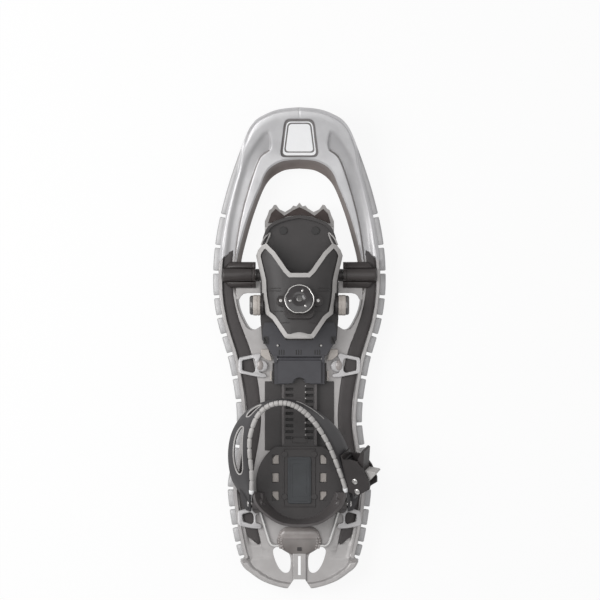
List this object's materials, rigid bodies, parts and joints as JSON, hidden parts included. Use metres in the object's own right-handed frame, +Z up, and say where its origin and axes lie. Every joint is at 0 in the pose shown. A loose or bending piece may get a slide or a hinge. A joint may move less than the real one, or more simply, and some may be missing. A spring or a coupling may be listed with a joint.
{
  "type": "snowshoe",
  "caption": "Flexible composite snowshoe with an upturned toe, finned edge, pivoting binding with dial closure, sliding heel cup, ratchet ankle strap, claw, spikes and heel lifter.",
  "frame": {"origin": "on the ground under the middle of the deck's box", "axes": "+Y toward the toe, +X to the wearer's right as seen from above, +Z up"},
  "size_m": [0.2, 0.555, 0.1145],
  "materials": {
    "deck_grey": "satin moulded composite",
    "dark_rubber": "matt",
    "black_plastic": "matt moulded",
    "blue_grey": "matt moulded",
    "pale_grey": "satin",
    "white_plate": "smooth, bare",
    "steel": "bare",
    "beige_plastic": "satin",
    "strap_black": "soft, matt"
  },
  "bodies": {
    "deck": {"deck_frame": "deck_grey", "strip_left": "dark_rubber", "strip_right": "dark_rubber", "centre_pad": "dark_rubber", "toe_badge": "white_plate", "mid_brace_left": "deck_grey", "mid_brace_right": "deck_grey", "rear_brace_left": "deck_grey", "rear_brace_right": "deck_grey", "corner_stops": "deck_grey", "deck_spikes": "steel", "brace_studs": "steel", "axle_housing_left": "black_plastic", "axle_housing_right": "black_plastic", "axle_rod": "steel", "axle_screws": "steel", "heel_bumper": "dark_rubber", "lifter_lugs": "deck_grey", "tail_spine": "deck_grey"},
    "lifter": {"lifter_wire": "steel", "lifter_grip": "pale_grey"},
    "binding": {"toe_plate": "black_plastic", "axle_bushes": "beige_plastic", "front_claw": "steel", "claw_cover": "black_plastic", "claw_screws": "steel", "forefoot_shell": "black_plastic", "shell_rim": "pale_grey", "toe_tabs": "pale_grey", "dial_housing": "black_plastic", "dial_rivets": "steel", "mid_plate": "blue_grey", "mid_plate_screws": "steel", "knob_studs": "steel", "latch_pin": "steel"},
    "dial": {"dial_knob": "black_plastic", "dial_ring": "steel", "dial_spool": "steel"},
    "knob_l": {"knob_left": "beige_plastic", "knob_cap_left": "pale_grey"},
    "knob_r": {"knob_right": "beige_plastic", "knob_cap_right": "pale_grey"},
    "latch": {"length_latch": "blue_grey"},
    "heel": {"rail": "black_plastic", "heel_plate": "black_plastic", "heel_pad": "blue_grey", "heel_cup": "black_plastic", "heel_screws": "steel", "strap_rivets": "steel"},
    "strap": {"ankle_strap": "strap_black", "strap_roll": "pale_grey", "strap_trim": "pale_grey", "ladder_strap": "strap_black", "buckle_base": "black_plastic", "buckle_pins": "steel"},
    "lever": {"ratchet_lever": "black_plastic", "lever_tab": "pale_grey"},
    "pawl": {"ratchet_pawl": "steel"}
  },
  "joints": [
    {"name": "binding_pivot", "type": "hinge", "parent": "deck", "child": "binding", "pos_m": [0, 0.085, 0.028], "axis": [-1, 0, 0], "range_deg": [0, 60]},
    {"name": "lifter_swing", "type": "hinge", "parent": "deck", "child": "lifter", "pos_m": [0, -0.172, 0.027], "axis": [-1, 0, 0], "range_deg": [0, 90]},
    {"name": "dial_turn", "type": "hinge", "parent": "binding", "child": "dial", "pos_m": [0, 0.0545, 0.07802], "axis": [0, 0.2079, 0.9781], "continuous": true},
    {"name": "knob_turn_left", "type": "hinge", "parent": "binding", "child": "knob_l", "pos_m": [-0.05, 0.05, 0.049], "axis": [-1, 0, 0], "continuous": true},
    {"name": "knob_turn_right", "type": "hinge", "parent": "binding", "child": "knob_r", "pos_m": [0.05, 0.05, 0.049], "axis": [1, 0, 0], "continuous": true},
    {"name": "latch_lift", "type": "hinge", "parent": "binding", "child": "latch", "pos_m": [0, -0.012, 0.0384], "axis": [-1, 0, 0], "range_deg": [0, 60]},
    {"name": "heel_slide", "type": "slide", "parent": "binding", "child": "heel", "axis": [0, 1, 0], "range_m": [-0.028, 0.028]},
    {"name": "strap_tilt", "type": "hinge", "parent": "heel", "child": "strap", "pos_m": [0, -0.178, 0.0506], "axis": [1, 0, 0], "range_deg": [-10, 35]},
    {"name": "lever_lift", "type": "hinge", "parent": "strap", "child": "lever", "pos_m": [0.07088, -0.15904, 0.06566], "axis": [0.4745, 0.42, -0.7736], "range_deg": [0, 70]},
    {"name": "pawl_lift", "type": "hinge", "parent": "strap", "child": "pawl", "pos_m": [0.06829, -0.14725, 0.07048], "axis": [0.4745, 0.42, -0.7736], "range_deg": [0, 12], "stiffness_Nm_per_rad": 0.02}
  ],
  "couplings": [
    {"joint": "lifter_swing", "follows": "binding_pivot", "ratio": 1.5}
  ]
}
